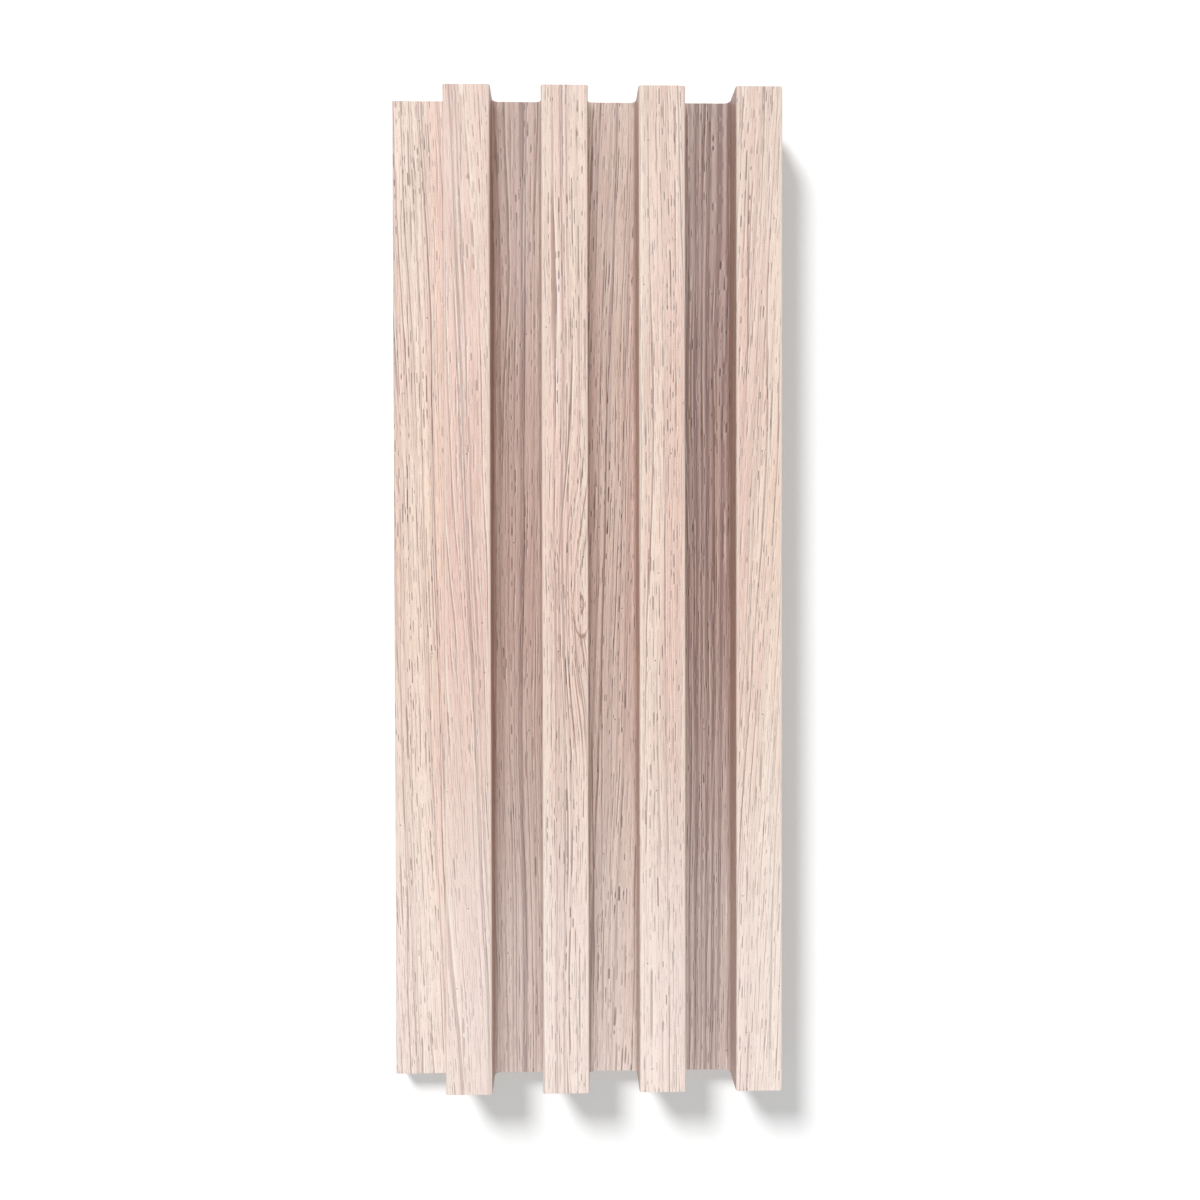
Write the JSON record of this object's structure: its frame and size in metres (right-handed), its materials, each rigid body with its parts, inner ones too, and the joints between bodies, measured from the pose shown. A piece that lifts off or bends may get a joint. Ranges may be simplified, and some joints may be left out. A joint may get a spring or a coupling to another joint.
{
  "type": "fluted wall panel",
  "caption": "Fluted wall panel with square ribs and flat grooves in a pale wood-grain finish, a side flange that laps under the next panel and open channels along the back.",
  "frame": {"origin": "middle of the panel's back, on the plane of the wall that it is fixed to", "axes": "+X across the flutes, from the flange to the lap edge; +Y along the flutes; +Z out from the wall"},
  "size_m": [0.16, 0.408, 0.024],
  "materials": {
    "wood_grain": "matt printed wood grain on the face, bare fawn wood-plastic at the cut ends and on the back"
  },
  "bodies": {
    "root": {"fluted_panel": "wood_grain"}
  },
  "joints": []
}
